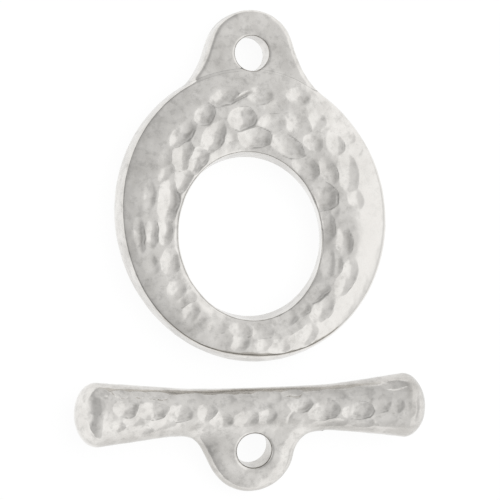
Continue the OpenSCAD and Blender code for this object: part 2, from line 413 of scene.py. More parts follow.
class Wiring:
    """Adds nodes to a tree and connects them."""

    def __init__(self, tree: bpy.types.NodeTree) -> None:
        """Keeps the tree that the nodes go into."""
        self.tree = tree

    def fill(self, socket: bpy.types.NodeSocket, value: object) -> None:
        """Gives an input its value.

        Args:
            socket: The input.
            value: An output to connect it to, or a plain value.
        """
        if isinstance(value, bpy.types.NodeSocket):
            self.tree.links.new(value, socket)
        else:
            socket.default_value = value

    def give(self, node: bpy.types.Node, values: dict[str | int, object]) -> bpy.types.Node:
        """Gives inputs of a node their values.

        Args:
            node: The node.
            values: An output or a plain value for each input, by its name or number.

        Returns:
            The same node.
        """
        for name, value in values.items():
            self.fill(node.inputs[name], value)
        return node

    def add(self, kind: str, values: dict[str | int, object] | None = None,
            **settings: object) -> bpy.types.Node:
        """Adds a node.

        Args:
            kind: The type of the node.
            values: What its inputs get, by name or number.
            settings: The node's own properties.

        Returns:
            The node.
        """
        node = self.tree.nodes.new(kind)
        for name, setting in settings.items():
            setattr(node, name, setting)
        return self.give(node, values or {})

    def math(self, operation: str, *values: object) -> bpy.types.NodeSocket:
        """Works out a number from others and returns the output that carries it."""
        return self.add("ShaderNodeMath", dict(enumerate(values)), operation=operation).outputs[0]

    def vector(self, operation: str, *values: object) -> bpy.types.NodeSocket:
        """Works out a vector from others, or a number for a dot product.

        Args:
            operation: What is done, as the node names it.
            values: The vectors, as outputs or plain values.

        Returns:
            The output that carries the result.
        """
        node = self.add("ShaderNodeVectorMath", dict(enumerate(values)), operation=operation)
        return node.outputs["Value" if operation == "DOT_PRODUCT" else "Vector"]

    def scaled(self, vector: bpy.types.NodeSocket, factor: object) -> bpy.types.NodeSocket:
        """Makes a vector longer by a factor and returns the output that carries it."""
        return self.add("ShaderNodeVectorMath", {0: vector, "Scale": factor}, operation="SCALE").outputs[0]

    def ramp(self, value: object, *span: float) -> bpy.types.NodeSocket:
        """Maps a value evenly from one span onto another, or onto 0 to 1, and stops at its ends."""
        return self.add("ShaderNodeMapRange", dict(enumerate((value, *span)))).outputs[0]

    def noise(self, place: bpy.types.NodeSocket, scale: object, detail: float) -> bpy.types.Node:
        """Adds a noise.

        Args:
            place: The coordinates that it is read at, in metres.
            scale: How many of its features lie in a metre.
            detail: How many finer noises are laid over it.

        Returns:
            The noise node.
        """
        return self.add("ShaderNodeTexNoise", {"Vector": place, "Scale": scale, "Detail": detail})

    def mix(self, share: object, first: object, second: object) -> bpy.types.NodeSocket:
        """Mixes two colours.

        Args:
            share: Share of the second colour.
            first: The first colour.
            second: The second colour.

        Returns:
            The output that carries the mixed colour.
        """
        node = self.add("ShaderNodeMix", data_type="RGBA")
        for name, value in (("Factor", share), ("A", first), ("B", second)):
            self.fill(next(s for s in node.inputs if s.enabled and s.name == name), value)
        return next(s for s in node.outputs if s.enabled)


class HammerWork(Wiring):
    """Presses hammer marks into a casting with a Geometry Nodes tree.

    The tree repeats once for each mark, keeps the deepest press at every point, and moves
    the surface inwards by it. What lies hollow is noted on the mesh for the finish to read.
    """

    NOISE_MEAN = 0.5
    WANDER_DETAIL = 3.0
    WANDER_GAIN = 4.0
    UNEVEN_DETAIL = 2.0
    FACING_SPAN = (0.3, 0.75)
    UPWARD_SPAN = (-0.5, 0.1)
    BLUR_ROUNDS = 5

    def __init__(self) -> None:
        """Builds the tree once, for all castings."""
        super().__init__(bpy.data.node_groups.new("hammer_work", "GeometryNodeTree"))
        self.sockets: dict[str, str] = {}
        self._interface()
        self.given = self.add("NodeGroupInput").outputs
        self._press_in(self._repeat())

    def _interface(self) -> None:
        """Names the tree's inputs and its output."""
        face = self.tree.interface
        for name, kind, value in (
            ("Casting", "NodeSocketGeometry", None),
            ("Marks", "NodeSocketObject", None),
            ("Number of Marks", "NodeSocketInt", 0),
            ("Drive", "NodeSocketFloat", 0.28),
            ("Rim Softness", "NodeSocketFloat", 0.000008),
            ("Rim Wander", "NodeSocketFloat", 0.0001),
            ("Wander Size", "NodeSocketFloat", 0.0009),
            ("Unevenness", "NodeSocketFloat", 0.00005),
            ("Unevenness Size", "NodeSocketFloat", 0.0008),
            ("Metal", "NodeSocketMaterial", None),
        ):
            socket = face.new_socket(name, in_out="INPUT", socket_type=kind)
            if value is not None:
                socket.default_value = value
            self.sockets[name] = socket.identifier
        face.new_socket("Casting", in_out="OUTPUT", socket_type="NodeSocketGeometry")

    def _position(self) -> bpy.types.NodeSocket:
        """Reads where the points of the mesh lie."""
        return self.add("GeometryNodeInputPosition").outputs[0]

    def _normal(self) -> bpy.types.NodeSocket:
        """Reads which way the surface faces."""
        return self.add("GeometryNodeInputNormal").outputs[0]

    def _carried(self, name: str, kind: str = "FLOAT") -> bpy.types.NodeSocket:
        """Reads a layer of the mesh by its name and its kind, FLOAT or FLOAT_VECTOR."""
        named = self.add("GeometryNodeInputNamedAttribute", {"Name": name}, data_type=kind)
        return named.outputs["Attribute"]

    def _store(self, geometry: bpy.types.NodeSocket, layer: Layer, value: object) -> bpy.types.NodeSocket:
        """Stores a number on every point.

        Args:
            geometry: The mesh.
            layer: The layer that holds the number.
            value: The number, as an output or a plain value.

        Returns:
            The output that carries the mesh.
        """
        values = {"Geometry": geometry, "Name": layer.value, "Value": value}
        kind = "GeometryNodeStoreNamedAttribute"
        return self.add(kind, values, data_type="FLOAT", domain="POINT").outputs["Geometry"]

    def _noise_of(self, size: bpy.types.NodeSocket, detail: float) -> bpy.types.Node:
        """Adds a noise on the mesh whose features have a size in metres."""
        return self.noise(self._position(), self.math("DIVIDE", 1.0, size), detail)

    def _repeat(self) -> bpy.types.NodeSocket:
        """Lays out the part that repeats once for each mark.

        Returns:
            The casting, which carries how deep it is pressed at each point.
        """
        marks = {"Object": self.given["Marks"]}
        struck = self.add("GeometryNodeObjectInfo", marks, transform_space="ORIGINAL")
        begin = self.add("GeometryNodeRepeatInput")
        end = self.add("GeometryNodeRepeatOutput")
        begin.pair_with_output(end)
        blank = self._store(self.given["Casting"], Layer.PRESS, 0.0)
        self.give(begin, {"Iterations": self.given["Number of Marks"], "Geometry": blank})

        def of_mark(name: str, kind: str = "FLOAT_VECTOR") -> bpy.types.NodeSocket:
            """Reads one value of the mark that the repeat has come to.

            Args:
                name: Layer of the chart to read, or position.
                kind: FLOAT or FLOAT_VECTOR.

            Returns:
                The output that carries the value.
            """
            values = {
                "Geometry": struck.outputs["Geometry"],
                "Value": self._position() if name == "position" else self._carried(name, kind),
                "Index": begin.outputs["Iteration"],
            }
            return self.add("GeometryNodeSampleIndex", values, data_type=kind).outputs["Value"]

        wander = self._noise_of(self.given["Wander Size"], self.WANDER_DETAIL).outputs["Color"]
        centred = self.vector("SUBTRACT", wander, (self.NOISE_MEAN,) * 3)
        stray = self.scaled(centred, self.math("MULTIPLY", self.given["Rim Wander"], self.WANDER_GAIN))
        here = self.vector("ADD", self._position(), stray)
        away = self.vector("SUBTRACT", here, of_mark("position"))
        ways = [of_mark(name) for name in ("along", "across", "driven")]
        u, v, driven = (self.vector("DOT_PRODUCT", away, way) for way in ways)
        fall = self.math("ADD", self.math("MULTIPLY", u, u), self.math("MULTIPLY", v, v))
        bowl = self.math("SUBTRACT", 1.0, fall)
        piled = self.math("MULTIPLY_ADD", driven, self.given["Drive"], 1.0)
        deep = self.math("MULTIPLY", of_mark("deep", "FLOAT"), self.math("MULTIPLY", piled, piled))
        facing = self.vector("DOT_PRODUCT", self._normal(), of_mark("facing"))
        struck_side = self.ramp(facing, *self.FACING_SPAN)
        press = self.math("MULTIPLY", self.math("MULTIPLY", bowl, deep), struck_side)
        before = self._carried(Layer.PRESS.value)
        deepest = self.math("SMOOTH_MAX", before, press, self.given["Rim Softness"])
        self.give(end, {"Geometry": self._store(begin.outputs["Geometry"], Layer.PRESS, deepest)})
        return end.outputs["Geometry"]

    def _press_in(self, casting: bpy.types.NodeSocket) -> None:
        """Lays out the part that notes the hollows and moves the surface.

        Args:
            casting: The casting, which carries how deep it is pressed at each point.
        """
        press = self._carried(Layer.PRESS.value)
        blur = {"Value": press, "Iterations": self.BLUR_ROUNDS}
        spread = self.add("GeometryNodeBlurAttribute", blur, data_type="FLOAT").outputs[0]
        kept = self._store(casting, Layer.HOLLOW, self.math("SUBTRACT", press, spread))
        normal = self._normal()
        upward = self.ramp(self.vector("DOT_PRODUCT", normal, (0.0, 0.0, 1.0)), *self.UPWARD_SPAN)
        noise = self._noise_of(self.given["Unevenness Size"], self.UNEVEN_DETAIL).outputs[0]
        wave = self.math("SUBTRACT", noise, self.NOISE_MEAN)
        uneven = self.math("MULTIPLY", self.math("MULTIPLY", wave, self.given["Unevenness"]), upward)
        depth = self.math("ADD", press, uneven)
        inwards = self.scaled(normal, self.math("MULTIPLY", depth, -1.0))
        geometry = self.add("GeometryNodeSetPosition", {"Geometry": kept, "Offset": inwards}).outputs[0]
        geometry = self.add("GeometryNodeRealizeInstances", {"Geometry": geometry}).outputs[0]
        dressed = {"Geometry": geometry, "Material": self.given["Metal"]}
        geometry = self.add("GeometryNodeSetMaterial", dressed).outputs[0]
        self.add("NodeGroupOutput", {"Casting": geometry})

    def press(self, name: str, skin: Skin, marks: list[Mark], blow: np.ndarray,
              metal: bpy.types.Material) -> bpy.types.Object:
        """Presses marks into a skin and returns the finished casting.

        Args:
            name: Name of the casting.
            skin: Its smooth surface.
            marks: The marks that are pressed into it.
            blow: The way in which the blows drive the metal.
            metal: Its material.

        Returns:
            The casting, as an object with a plain mesh.
        """
        chart = self._chart(marks, blow)
        rough = placed(name + "_rough", skin.mesh(name + "_rough"))
        modifier = rough.modifiers.new("Hammer Work", "NODES")
        modifier.node_group = self.tree
        modifier[self.sockets["Marks"]] = chart
        modifier[self.sockets["Number of Marks"]] = len(marks)
        modifier[self.sockets["Metal"]] = metal
        seen = rough.evaluated_get(bpy.context.evaluated_depsgraph_get())
        mesh = bpy.data.meshes.new_from_object(seen)
        rough.modifiers.remove(modifier)
        for spare in (rough, chart):
            bpy.data.objects.remove(spare)
        mesh.name = name
        mesh.shade_smooth()
        return placed(name, mesh)

    def _chart(self, marks: list[Mark], blow: np.ndarray) -> bpy.types.Object:
        """Makes an object with one point for each mark, which carries the mark's values.

        Args:
            marks: The marks.
            blow: The way in which the blows drive the metal.

        Returns:
            The object.
        """
        mesh = bpy.data.meshes.new("mark_chart")
        mesh.from_pydata([tuple(mark.middle * MM) for mark in marks], [], [])
        for name, values in (
            ("along", [mark.along / (mark.long * MM) for mark in marks]),
            ("across", [mark.across / (mark.wide * MM) for mark in marks]),
            ("facing", [mark.facing for mark in marks]),
            ("driven", [mark.driven(blow) / MM for mark in marks]),
            ("deep", [mark.deep * MM for mark in marks]),
        ):
            carry(mesh, name, np.array(values))
        return placed("mark_chart", mesh)


@dataclass(frozen=True)
class PlatedFinish:
    """Bright plating, buffed smooth, over a white-metal casting, with a mottled grey patina;
    shade and a sheen are painted into its colour: shade in its hollows, along its rims, between
    its marks and on some sides, a sheen on the ring's right slope.

    Scales are noise features in a metre, and widths and bumps are in metres. Each span runs
    from where there is least of its kind to where there is most.
    """

    slot: str = "plated_metal"
    bright: Colour = (0.83, 0.81, 0.78)
    # Colour of the grey patina and of the painted shade that the finish mixes in.
    dull_and_shade: Colour = (0.58, 0.562, 0.535)
    # Colour of the smudges, and of the painted shade lines along rims and between the marks.
    dark: Colour = (0.20, 0.195, 0.185)
    smooth: float = 0.09
    rough: float = 0.22
    line_width: float = 0.000045
    cloud_scale: float = 750.0
    cloud_detail: float = 5.0
    cloud_span: tuple[float, float] = (0.42, 0.72)
    cloud_share: float = 0.6
    grain_scale: float = 2500.0
    grain_detail: float = 4.0
    grain_span: tuple[float, float] = (0.45, 0.75)
    grain_share: float = 0.25
    grain_bump: float = 0.000012
    grain_strength: float = 0.25
    # Painted shade in the hollows of the marks, over a grey patina there.
    hollow_shade_span: tuple[float, float] = (0.000006, 0.000020)
    hollow_shade_share: float = 0.8
    # Painted shade: a dark line on the raised rims between the marks.
    ridge_shade_span: tuple[float, float] = (-0.000010, -0.000020)
    ridge_shade_share: float = 0.5
    # Painted shade where the level of painted light rises above one.
    painted_shade_share: float = 0.9
    smudge_scale: float = 2200.0
    smudge_detail: float = 6.0
    smudge_rough: float = 0.68
    smudge_span: tuple[float, float] = (0.50, 0.74)
    smudge_share: float = 0.38
    break_span: tuple[float, float] = (0.35, 0.6)
    break_share: float = 0.55

    def material(self) -> bpy.types.Material:
        """Builds the finish as a node material.

        Returns:
            The material, which reads the piece's layers and its object coordinates.
        """
        material = bpy.data.materials.new("hammered_plate")
        material.use_nodes = True
        wiring = Wiring(material.node_tree)
        place = wiring.add("ShaderNodeTexCoord").outputs["Object"]
        cloud = wiring.noise(place, self.cloud_scale, self.cloud_detail).outputs["Fac"]
        grain = wiring.noise(place, self.grain_scale, self.grain_detail).outputs["Fac"]
        hollow = wiring.add("ShaderNodeAttribute", attribute_name=Layer.HOLLOW.value).outputs["Fac"]
        film = wiring.add("ShaderNodeAttribute", attribute_name=Layer.PAINTED_LIGHT.value).outputs["Fac"]
        # Level of painted light: below one it thins the patina to paint a sheen, above one it adds painted
        # shade.
        kept = wiring.ramp(film, 0.0, 1.0)
        painted_shade = wiring.ramp(film, 1.0, 2.0, 0.0, self.painted_shade_share)

        patch = wiring.math("MULTIPLY", wiring.ramp(cloud, *self.cloud_span), self.cloud_share)
        speckle = wiring.ramp(grain, *self.grain_span)
        patina_and_shade = wiring.math("MULTIPLY_ADD", speckle, self.grain_share, patch)
        # Grey patina and painted shade in the hollows, strongest just inside the steep rim of each mark.
        deep = wiring.ramp(hollow, *self.hollow_shade_span)
        patina_and_shade = wiring.math("MULTIPLY_ADD", deep, self.hollow_shade_share, patina_and_shade)
        patina_and_shade = wiring.math("MULTIPLY_ADD", patina_and_shade, kept, painted_shade)
        tone = wiring.mix(patina_and_shade, (*self.bright, 1), (*self.dull_and_shade, 1))

        course = wiring.noise(place, self.smudge_scale, self.smudge_detail)
        course.inputs["Roughness"].default_value = self.smudge_rough
        smudge = wiring.ramp(course.outputs["Fac"], *self.smudge_span, 0.0, self.smudge_share)
        # Painted shade: a dark line along the raised rims between the marks.
        ridge_shade = wiring.ramp(hollow, *self.ridge_shade_span, 0.0, self.ridge_shade_share)
        stain_and_shade_lines = wiring.math("MAXIMUM", wiring.math("MULTIPLY", smudge, kept), ridge_shade)
        # Painted shade: thin dark lines along the rims, the crease and the bores.
        stain_and_shade_lines = wiring.math("MAXIMUM", self._rim_shade_lines(wiring, grain), stain_and_shade_lines)
        bump = {"Strength": self.grain_strength, "Distance": self.grain_bump, "Height": grain}
        wiring.give(material.node_tree.nodes["Principled BSDF"], {
            "Metallic": 1.0,
            "Base Color": wiring.mix(stain_and_shade_lines, tone, (*self.dark, 1)),
            "Roughness": wiring.ramp(patina_and_shade, 0.0, 1.0, self.smooth, self.rough),
            "Normal": wiring.add("ShaderNodeBump", bump).outputs["Normal"],
        })
        return material

    def _rim_shade_lines(self, wiring: Wiring, grain: bpy.types.NodeSocket) -> bpy.types.NodeSocket:
        """Paints a thin dark line of painted shade along each rim, broken up by a noise.

        Args:
            wiring: Adds the nodes.
            grain: The noise.

        Returns:
            The output that carries the lines' darkness.
        """
        rims = wiring.add("ShaderNodeAttribute", attribute_name=Layer.RIMS.value).outputs["Vector"]
        lines = []
        for part in wiring.add("ShaderNodeSeparateXYZ", {0: rims}).outputs:
            away = wiring.math("ABSOLUTE", part)
            lines.append(wiring.ramp(away, 0.0, self.line_width, 1.0, 0.0))
        every = wiring.math("MAXIMUM", wiring.math("MAXIMUM", lines[0], lines[1]), lines[2])
        return wiring.math("MULTIPLY", every, wiring.ramp(grain, *self.break_span, self.break_share, 1.0))


class Edge(NamedTuple):
    """The ring's edges in a direction round it: how worn and high they are, and how strongly a line of
    painted shade is drawn along the outer rim.
    """

    angle: float
    bevel: float
    outer: float
    crest: float
    inner: float
    inner_soft: float
    # Strength of the painted shade line along the outer rim.
    line_shade: float


# The last column sets how strongly the line of painted shade is drawn along the outer rim, none on the
# bright right side.
RING_EDGES = tuple(Edge(*row) for row in (
    (0, 0.14, 1.38, 1.85, 1.70, 0.12, 0.0),
    (25, 0.16, 1.42, 1.92, 1.74, 0.12, 0.0),
    (45, 0.24, 1.55, 2.03, 1.80, 0.12, 0.0),
    (62, 0.28, 1.74, 2.13, 1.90, 0.12, 0.0),
    (80, 0.12, 1.85, 2.22, 1.95, 0.12, 0.1),
    (115, 0.05, 1.90, 2.30, 2.10, 0.15, 0.3),
    (150, 0.09, 1.98, 2.28, 2.20, 0.28, 0.8),
    (170, 0.12, 2.03, 2.26, 2.20, 0.34, 1.0),
    (190, 0.10, 2.03, 2.26, 2.20, 0.36, 1.0),
    (208, 0.03, 1.98, 2.26, 2.20, 0.34, 1.0),
    (225, 0.02, 1.90, 2.26, 2.15, 0.28, 1.0),
    (245, 0.04, 1.82, 2.22, 2.05, 0.20, 1.0),
    (268, 0.26, 1.70, 2.20, 2.00, 0.16, 1.0),
    (300, 0.16, 1.60, 2.05, 1.85, 0.12, 1.0),
    (330, 0.12, 1.40, 1.95, 1.75, 0.12, 0.5),
))

RING_STRIKES = tuple(Strike(*row) for row in (
    (8, 0.07, 1.00, 0.46, 90, 0.6),
    (13, 0.20, 0.45, 0.30, 60, 0.5),
    (14, 0.54, 0.50, 0.43, -60, 0.5),
    (25, 0.13, 0.80, 0.65, -40, 1.1),
    (27, 0.56, 1.05, 0.52, -85, 0.6),
    (33, 0.82, 0.46, 0.40, -30, 0.4),
    (35, 0.34, 0.70, 0.40, -65, 0.8),
    (40, 0.80, 0.63, 0.40, -40, 0.5),
    (42, 0.62, 0.63, 0.46, -65, 0.7),
    (47, 0.13, 0.77, 0.50, -25, 1.0),
    (52, 0.42, 0.55, 0.46, -60, 0.8),
    (56, 0.64, 0.50, 0.45, 0, 0.5),
    (64, 0.18, 0.97, 0.50, -30, 1.0),
    (64, 0.48, 0.74, 0.50, -20, 0.6),
    (68, 0.79, 0.57, 0.40, -10, 0.8),
    (78, 0.38, 0.74, 0.46, 0, 0.7),
    (78, 0.58, 0.68, 0.34, 5, 0.5),
    (87, 0.68, 0.68, 0.46, -8, 0.8),
    (88, 0.17, 0.88, 0.50, -5, 1.1),
    (98, 0.67, 1.05, 0.12, 24, 1.3),
    (96, 0.40, 0.71, 0.57, 0, 1.1),
    (104, 0.18, 0.34, 0.30, 0, 0.6),
    (105, 0.70, 0.77, 0.46, 20, 1.0),
    (115, 0.28, 0.86, 0.50, 60, 1.0),
    (117, 0.58, 0.60, 0.46, 50, 1.0),
    (132, 0.17, 0.80, 0.50, 50, 1.0),
    (132, 0.54, 0.80, 0.46, 48, 1.0),
    (138, 0.34, 0.85, 0.52, 78, 1.0),
    (147, 0.17, 0.85, 0.46, 60, 0.9),
    (147, 0.52, 0.50, 0.30, 70, 0.5),
    (153, 0.42, 0.50, 0.34, 65, 0.7),
    (163, 0.25, 1.20, 0.54, 86, 1.0),
    (168, 0.56, 0.80, 0.31, 88, 0.7),
    (173, 0.28, 0.34, 0.23, 0, 0.4),
    (182, 0.25, 0.74, 0.37, 90, 0.9),
    (185, 0.48, 0.74, 0.34, 90, 0.8),
    (188, 0.70, 0.97, 0.26, 97, 0.8),
    (200, 0.26, 0.66, 0.50, 80, 0.7),
    (200, 0.64, 0.68, 0.40, 120, 0.5),
    (208, 0.30, 0.40, 0.30, 10, 0.5),
    (216, 0.40, 0.55, 0.50, 60, 0.8),
    (222, 0.40, 0.68, 0.40, 20, 0.6),
    (231, 0.48, 0.55, 0.43, 70, 0.8),
    (236, 0.48, 0.46, 0.34, 20, 0.6),
    (247, 0.42, 0.50, 0.34, 0, 0.6),
    (252, 0.68, 0.57, 0.34, -5, 0.6),
    (261, 0.28, 0.57, 0.40, 0, 0.7),
    (261, 0.60, 0.50, 0.46, 0, 0.8),
    (274, 0.60, 0.50, 0.34, 0, 0.5),
    (275, 0.27, 0.63, 0.43, 5, 0.7),
    (281, 0.72, 0.63, 0.34, 10, 0.7),
    (292, 0.36, 0.68, 0.34, 15, 0.6),
    (293, 0.16, 0.74, 0.43, 25, 0.8),
    (295, 0.68, 0.80, 0.50, 25, 0.8),
    (307, 0.17, 0.43, 0.30, 40, 0.8),
    (313, 0.42, 0.74, 0.46, 45, 0.9),
    (322, 0.17, 0.66, 0.40, 35, 1.0),
    (334, 0.48, 0.97, 0.50, 62, 0.8),
    (342, 0.13, 0.68, 0.37, 85, 1.0),
    (342, 0.25, 0.63, 0.34, 85, 0.7),
    (355, 0.32, 0.80, 0.43, 90, 0.9),
))

BAR_STRIKES = tuple(Strike(*row) for row in (
    (-0.92, 20, 0.50, 0.50, 0, 0.5),
    (-0.88, 41, 0.46, 0.40, 20, 0.5),
    (-0.79, -24, 0.43, 0.31, 0, 0.8),
    (-0.76, 43, 0.50, 0.30, -10, 0.5),
    (-0.74, 11, 0.63, 0.43, 0, 1.0),
    (-0.70, -17, 0.50, 0.29, 0, 0.5),
    (-0.67, 42, 0.46, 0.26, 0, 0.4),
    (-0.66, -36, 0.74, 0.34, -5, 0.6),
    (-0.59, 5, 0.86, 0.43, 0, 1.0),
    (-0.55, 41, 0.68, 0.30, 0, 0.5),
    (-0.53, -25, 0.68, 0.30, 0, 0.6),
    (-0.44, -2, 0.71, 0.43, 0, 0.9),
    (-0.36, 41, 0.68, 0.30, 0, 0.4),
    (-0.28, -1, 0.46, 0.43, 0, 0.8),
    (-0.19, -23, 0.60, 0.46, -20, 0.9),
    (-0.17, 33, 0.57, 0.30, 0, 0.4),
    (-0.05, -25, 0.63, 0.46, 0, 0.8),
    (0.04, 13, 0.50, 0.31, 0, 0.5),
    (0.05, 43, 0.46, 0.30, 0, 0.5),
    (0.07, -19, 0.46, 0.40, 30, 0.7),
    (0.11, 35, 0.46, 0.34, 0, 0.5),
    (0.20, -20, 0.50, 0.10, 75, 0.6),
    (0.22, 46, 0.57, 0.30, 0, 0.6),
    (0.26, 10, 0.66, 0.37, 5, 0.9),
    (0.39, -9, 0.77, 0.49, 5, 1.0),
    (0.43, -42, 0.90, 0.30, 3, 0.6),
    (0.44, 32, 0.74, 0.30, -8, 0.5),
    (0.58, -11, 0.77, 0.46, 5, 1.0),
    (0.60, 33, 0.68, 0.34, -5, 0.5),
    (0.61, -39, 0.63, 0.30, 3, 0.5),
    (0.72, 2, 0.54, 0.37, 0, 0.7),
    (0.73, -28, 0.68, 0.37, 0, 0.5),
    (0.79, -1, 0.46, 0.37, 0, 0.7),
    (0.80, 42, 0.68, 0.34, 0, 0.5),
    (0.87, -7, 0.40, 0.50, 0, 0.4),
))


class Casting(ABC):
    """What both castings share, in millimetres: a form, notes on it and marks struck on it.

    The lowest and highest corners are those of the casting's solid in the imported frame.
    """

    piece: str
    cell: tuple[float, float, float]
    margin: float
    hammer: Hammer
    blow_turn: float
    strikes: tuple[Strike, ...]
    eye_bore: float
    low: np.ndarray
    high: np.ndarray

    @abstractmethod
    def form(self, points: np.ndarray) -> np.ndarray:
        """Measures how far points lie from the casting before it is struck.

        Args:
            points: Points of the layout.

        Returns:
            The distances, negative inside.
        """

    @abstractmethod
    def notes(self, points: np.ndarray) -> np.ndarray:
        """Works out what the finish has to know of points.

        Args:
            points: Points of the casting's surface.

        Returns:
            Each point's distances from three kinds of rim, and its level of painted light.
        """

    @abstractmethod
    def aimed(self, strike: Strike) -> tuple[np.ndarray, np.ndarray]:
        """Finds where a strike lands.

        Args:
            strike: The mark as charted.

        Returns:
            A point close to the surface, and the rough direction of the mark's length.
        """

    def bore(self, beside: np.ndarray, above: np.ndarray) -> np.ndarray:
        """Distances from the wall of the eye's bore, negative in the metal."""
        return self.eye_bore / 2 - np.hypot(beside, above)

    def build(self, work: HammerWork, metal: bpy.types.Material) -> bpy.types.Object:
        """Makes the casting.

        Args:
            work: Presses the marks.
            metal: The casting's material.

        Returns:
            The finished casting.
        """
        low, high = self.low - self.margin, self.high + self.margin
        skin = skin_of(self.form, self.notes, low, high, np.array(self.cell))
        marks = [self.hammer.mark_on(self.form, *self.aimed(strike), strike) for strike in self.strikes]
        return work.press(self.piece, skin, marks, toward(self.blow_turn), metal)


@dataclass
class HammeredRing(Casting):
    """The oval ring with the eye on its upper rim: one casting, sizes in millimetres."""

    piece: str = "hammered_ring"
    width: float = 15.8
    length: float = 16.8
    lean: float = 13.5
    right: float = 0.29
    top_reach: float = 11.785
    crest_share: float = 0.42
    least_band: float = 1.5
    past_rim: float = 1.1
    belly: float = 0.5
    bevel_power: float = 1.5
    rim_soft: float = 0.14
    back_soft: float = 0.25
    back_rim_soft: float = 0.08
    ease_step: float = 2.0
    ease_rows: int = 8
    opening_width: float = 8.52
    opening_length: float = 9.1
    opening_lean: float = 9.0
    opening_right: float = 0.19
    opening_low: float = 1.185
    rim_width: float = 8.4
    rim_length: float = 9.6
    rim_lean: float = 8.0
    rim_right: float = 0.0
    rim_low: float = 1.24
    eye_bore: float = 1.98
    bore_soft: float = 0.14
    eye_thick: float = 1.78
    eye_radius: float = 2.5
    eye_right: float = 0.11
    eye_reach: float = 9.215
    eye_root: float = 2.6
    eye_join: float = 0.12
    eye_soft: float = 0.32
    eye_back_soft: float = 0.2
    eye_spread: float = 18.5
    flare_start: float = 0.9
    flare_growth: float = 0.1
    # Where the painted shade lines sit and how strong they are, and the painted sheen on the right outer
    # slope.
    outer_shade_shift: float = 0.08
    least_line_shade: float = 0.01
    crease_over: float = 1.0
    crease_reach: float = 0.2
    crease_shade_shift: float = 0.05
    crease_thin: float = 3.5
    narrowest: float = 1.0
    sheen_turn: float = 8.0
    sheen_side: tuple[float, float] = (1.8, 0.8)
    sheen_rise: tuple[float, float] = (3.0, 1.2)
    sheen_most: float = 0.8
    cell: tuple[float, float, float] = (0.075, 0.075, 0.11)
    margin: float = 0.7
    hammer: Hammer = Hammer(steep=0.23)
    blow_turn: float = -25.0
    strikes: tuple[Strike, ...] = RING_STRIKES

    def __post_init__(self) -> None:
        """Hangs the ring's ovals from the top of its solid."""
        self.low, self.high = (np.array(corner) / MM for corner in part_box("ring"))
        self.middle = (self.right, self.high[1] - self.top_reach)
        behind = (self.opening_right, self.middle[1] - self.opening_low)
        ahead = (self.rim_right, self.middle[1] - self.rim_low)
        self.outline = Oval(self.width, self.length, self.lean, self.middle)
        self.back = Oval(self.opening_width, self.opening_length, self.opening_lean, behind)
        self.opening = Oval(self.rim_width, self.rim_length, self.rim_lean, ahead)

    def edge(self, name: str, angles: np.ndarray) -> np.ndarray:
        """Reads one column of the edge table, eased between its rows.

        Args:
            name: The column.
            angles: Angles round the middle of the opening, in degrees.

        Returns:
            The column's value at each angle.
        """
        turns = np.arange(0, 360, self.ease_step)
        rows = [row.angle for row in RING_EDGES]
        worn = np.interp(turns, rows, [getattr(row, name) for row in RING_EDGES], period=360)
        ease = np.hanning(2 * self.ease_rows + 1)
        closed = np.concatenate([worn[-self.ease_rows:], worn, worn[:self.ease_rows]])
        return np.interp(angles, turns, np.convolve(closed, ease / ease.sum(), "valid"), period=360)

    def angles(self, x: np.ndarray, y: np.ndarray) -> np.ndarray:
        """Angles of points round the middle of the opening, in degrees."""
        return np.degrees(np.arctan2(y - self.opening.middle[1], x - self.opening.middle[0]))

    def faces(self, x: np.ndarray, y: np.ndarray, z: np.ndarray) -> tuple[np.ndarray, ...]:
        """Measures how far points lie from the ring's single faces.

        Args:
            x: The points' places to the right.
            y: Their places up the plan.
            z: Their heights.

        Returns:
            Distances to the face, the outside and the wall, and the softness of the inner rim.
        """
        inwards, outwards = self.opening.distance(x, y), -self.outline.distance(x, y)
        angles = self.angles(x, y)
        names = ("bevel", "outer", "crest", "inner", "inner_soft")
        bevel, outer, crest, inner, soft = (self.edge(name, angles) for name in names)
        face = np.maximum(inwards + outwards, self.least_band) - soft - bevel
        run = np.clip((inwards - soft) / face, 0, self.past_rim) - self.crest_share
        reach = np.where(run < 0, self.crest_share, 1 - self.crest_share)
        drop = crest - np.where(run < 0, inner, outer)
        height = crest - drop * (run / reach) ** 2
        steep = 2 * drop * np.abs(run) / reach ** 2 / face
        above = np.maximum(z - self.belly, 0) / (outer - self.belly)
        below = np.clip(1 - z / self.belly, 0, 1)
        inset = bevel * above ** self.bevel_power + self.back_soft * (1 - np.sqrt(1 - below ** 2))
        front = np.clip(z / inner, 0, 1)
        wall = inwards * front + self.back.distance(x, y) * (1 - front)
        return (z - height) / np.sqrt(1 + steep ** 2), inset - outwards, -wall, soft

    def band(self, x: np.ndarray, y: np.ndarray, z: np.ndarray) -> np.ndarray:
        """Measures how far points lie from the ring without its eye.

        Args:
            x: The points' places to the right.
            y: Their places up the plan.
            z: Their heights.

        Returns:
            The distances, negative inside.
        """
        face, outside, wall, soft = self.faces(x, y, z)
        band = cut_soft(cut_soft(face, outside, self.rim_soft), wall, soft)
        return cut_soft(band, -z, self.back_rim_soft)

    def from_bore(self, x: np.ndarray, y: np.ndarray) -> tuple[np.ndarray, np.ndarray]:
        """Turns places in the plan into ones measured from the middle of the eye's bore."""
        return x - self.eye_right, y - self.middle[1] - self.eye_reach

